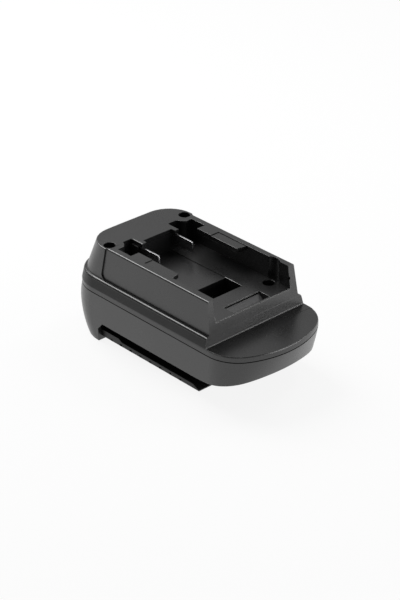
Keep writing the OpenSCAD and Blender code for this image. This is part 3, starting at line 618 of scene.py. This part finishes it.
# Housing screws: four zinc-plated pan-head screws at the bottom of the deep round holes.
# They are driven from above and draw the two shells together.
broken_all_round("housing_screws", "housing_pan_screws", "housing", "screw_steel",
                 zinc_plate, PAN_RADIUS)

# Studio: a sheet of white paper in a pale grey surround that is brighter above and behind,
# a soft box on the left for the long edges, a low card on the right for the nose, a small
# card high at the back for the cross edges, and a long lens at the photograph's angle.
scene = bpy.context.scene
scene.view_settings.view_transform = "Standard"
SURROUND_LOW, SURROUND_HIGH = 0.45, 0.54
SURROUND_FRONT, SURROUND_BACK = 0.35, 1.0
HORIZON_TO_ABOVE, FRONT_TO_BACK = (0.02, 0.42), (-0.1, 0.6)
TOWARDS_BACK = (-0.737, 0.676, 0.0)
scene.world = bpy.data.worlds.new("surround")
scene.world.use_nodes = True
sky = scene.world.node_tree
backdrop = sky.nodes["Background"]
backdrop.inputs["Color"].default_value = (1.0, 1.0, 1.0, 1.0)
direction = sky.nodes.new("ShaderNodeTexCoord").outputs["Generated"]
upward = sky.nodes.new("ShaderNodeSeparateXYZ")
sky.links.new(direction, upward.inputs["Vector"])
backward = sky.nodes.new("ShaderNodeVectorMath")
backward.operation = "DOT_PRODUCT"
backward.inputs[1].default_value = TOWARDS_BACK
sky.links.new(direction, backward.inputs[0])
by_height = spread(sky, upward.outputs["Z"], HORIZON_TO_ABOVE,
                   (SURROUND_LOW, SURROUND_HIGH), "SMOOTHSTEP")
by_side = spread(sky, backward.outputs["Value"], FRONT_TO_BACK,
                 (SURROUND_FRONT, SURROUND_BACK), "SMOOTHSTEP")
sky.links.new(reckon(sky, "MULTIPLY", by_height, by_side), backdrop.inputs["Strength"])

FLOOR_HALF, FLOOR_DROP = 12.0, 0.1 * MM
WHITE_SHARE = 0.88
floor_paper = bpy.data.materials.new("floor paper")
floor_paper.use_nodes = True
sheet_tree = floor_paper.node_tree
paper = sheet_tree.nodes["Principled BSDF"]
paper.inputs["Base Color"].default_value = (0.85, 0.85, 0.85, 1.0)
paper.inputs["Roughness"].default_value = 0.9
paper.inputs["Specular IOR Level"].default_value = 0.0
white = sheet_tree.nodes.new("ShaderNodeEmission")
ray = sheet_tree.nodes.new("ShaderNodeLightPath").outputs
seen = reckon(sheet_tree, "MAXIMUM", ray["Is Camera Ray"], ray["Is Glossy Ray"])
seen = reckon(sheet_tree, "MAXIMUM", seen, ray["Is Transmission Ray"])
choice = sheet_tree.nodes.new("ShaderNodeMixShader")
sheet_tree.links.new(reckon(sheet_tree, "MULTIPLY", seen, WHITE_SHARE), choice.inputs["Fac"])
sheet_tree.links.new(paper.outputs["BSDF"], choice.inputs[1])
sheet_tree.links.new(white.outputs["Emission"], choice.inputs[2])
paper_end = sheet_tree.nodes["Material Output"]
sheet_tree.links.new(choice.outputs["Shader"], paper_end.inputs["Surface"])
sheet = bmesh.new()
bmesh.ops.create_grid(sheet, x_segments=2, y_segments=2, size=FLOOR_HALF)
bmesh.ops.translate(sheet, verts=sheet.verts[:], vec=(0, 0, -FLOOR_DROP))
floor_mesh = bpy.data.meshes.new("studio_floor")
sheet.to_mesh(floor_mesh)
sheet.free()
floor_mesh.materials.append(floor_paper)
floor = bpy.data.objects.new("studio_floor", floor_mesh)
scene.collection.objects.link(floor)


def away_at(azimuth, elevation):
    """Direction out from the adapter, in degrees round from its -Y side and up."""
    a, e = math.radians(azimuth), math.radians(elevation)
    return Vector((math.sin(a) * math.cos(e), -math.cos(a) * math.cos(e), math.sin(e)))


LIGHT_AIM = Vector((0, 0, 0.03))


def soft_box(name, azimuth, elevation, distance, width, height, radiance):
    """Soft light that looks at the adapter, given by its brightness and not its power."""
    lamp = bpy.data.lights.new(name, "AREA")
    lamp.shape = "RECTANGLE"
    lamp.size, lamp.size_y = width, height
    lamp.energy = radiance * math.pi * width * height
    box = bpy.data.objects.new(name, lamp)
    away = away_at(azimuth, elevation)
    box.location = LIGHT_AIM + away * distance
    box.rotation_mode = "QUATERNION"
    box.rotation_quaternion = away.to_track_quat("Z", "Y")
    box.visible_camera = False
    scene.collection.objects.link(box)


soft_box("left box", -88, 49, distance=0.9, width=0.5, height=0.7, radiance=6.5)
soft_box("right card", 128, 2, distance=0.7, width=0.8, height=0.3, radiance=5.0)
soft_box("rear card", 172, 53.5, distance=0.9, width=0.26, height=0.26, radiance=6.0)

CAMERA_AZIMUTH, CAMERA_ELEVATION, CAMERA_DISTANCE = 47.43, 29.17, 0.9796
CAMERA_AIM = Vector((-0.00212, 0.00364, 0.02871))
lens = bpy.data.cameras.new("photo lens")
lens.lens, lens.sensor_width = 108.12, 36.0
lens.clip_start, lens.clip_end = 0.05, 20.0
camera = bpy.data.objects.new("photo camera", lens)
towards_camera = away_at(CAMERA_AZIMUTH, CAMERA_ELEVATION)
camera.location = CAMERA_AIM + towards_camera * CAMERA_DISTANCE
camera.rotation_mode = "QUATERNION"
camera.rotation_quaternion = (-towards_camera).to_track_quat("-Z", "Y")
scene.collection.objects.link(camera)
scene.camera = camera
